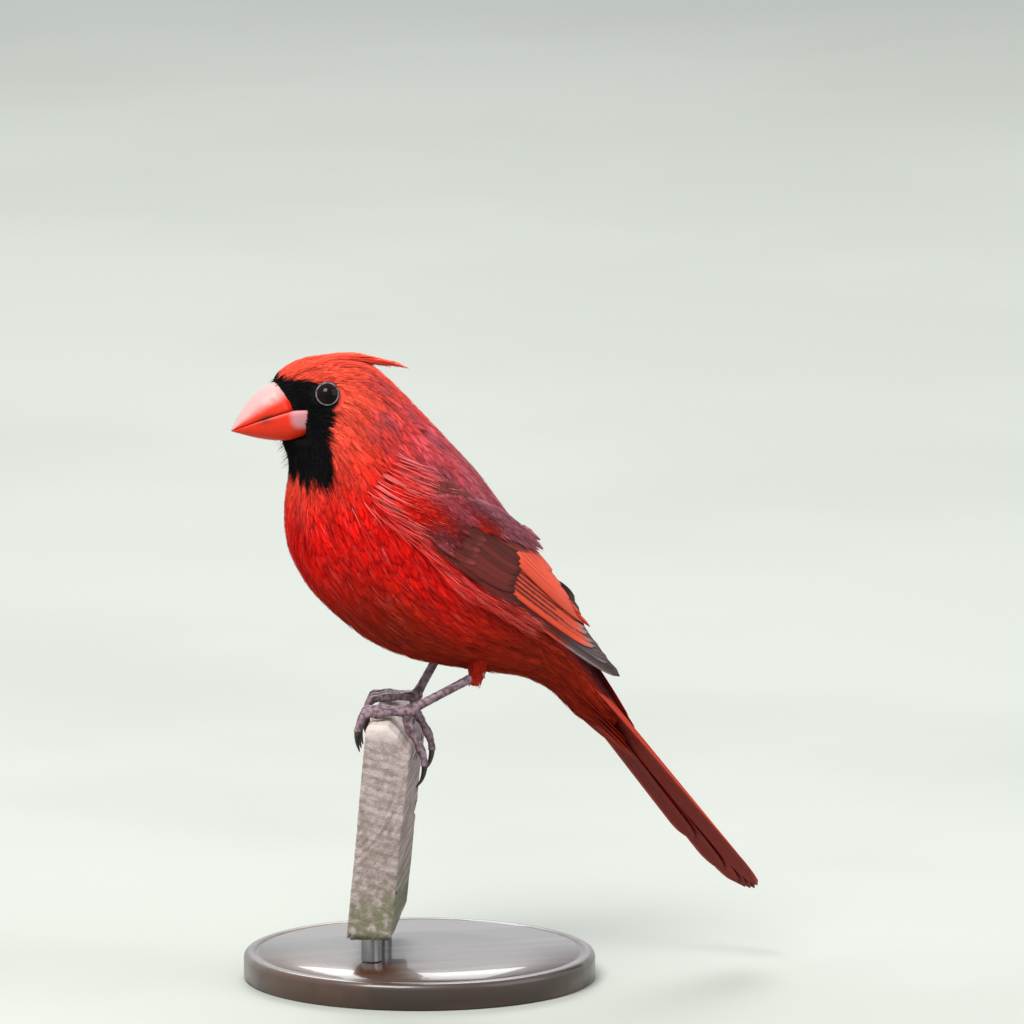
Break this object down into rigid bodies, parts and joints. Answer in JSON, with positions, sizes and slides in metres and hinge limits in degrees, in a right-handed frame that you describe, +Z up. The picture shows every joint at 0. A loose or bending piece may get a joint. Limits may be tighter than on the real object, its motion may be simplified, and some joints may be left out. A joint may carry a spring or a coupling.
{
  "type": "northern cardinal",
  "caption": "Life-size male northern cardinal, crest laid back, perched on a cut length of weathered board on a plain round stand.",
  "frame": {"origin": "centre of the stand base's underside, on the surface that it stands on", "axes": "+Z up, the bird faces -X with its left side towards -Y; the tail hangs towards +X"},
  "size_m": [0.1633, 0.104, 0.1897],
  "materials": {
    "red_plumage": "soft contour feathers, bright red on the breast and face, greyer red on the back, black round the bill",
    "wing_feathers": "brown-red vanes with bright red edges and dusky tips",
    "tail_feathers": "long red vanes, dusky along the shafts",
    "bill_horn": "satin coral-orange horn, paler along the ridge",
    "eye_glass": "wet, very dark brown",
    "leg_skin": "scaly grey-brown skin",
    "claw_horn": "dark horn",
    "old_board": "weathered grey-brown softwood, greenish low down",
    "stand_steel": "brushed",
    "stand_wood": "dark satin varnish"
  },
  "bodies": {
    "root": {"bill_lower": "bill_horn", "bill_upper": "bill_horn", "claw_hind_left": "claw_horn", "claw_hind_right": "claw_horn", "claw_inner_left": "claw_horn", "claw_inner_right": "claw_horn", "claw_middle_left": "claw_horn", "claw_middle_right": "claw_horn", "claw_outer_left": "claw_horn", "claw_outer_right": "claw_horn", "eye_left": "eye_glass", "eye_right": "eye_glass", "foot_left": "leg_skin", "foot_right": "leg_skin", "head": "red_plumage", "neck": "red_plumage", "perch_board": "old_board", "rump": "red_plumage", "shank_left": "leg_skin", "shank_right": "leg_skin", "stand_base": "stand_wood", "stand_rod_far": "stand_steel", "stand_rod_near": "stand_steel", "tail": "tail_feathers", "thigh_left": "red_plumage", "thigh_right": "red_plumage", "torso": "red_plumage", "wing_left": "wing_feathers", "wing_right": "wing_feathers"}
  },
  "joints": []
}
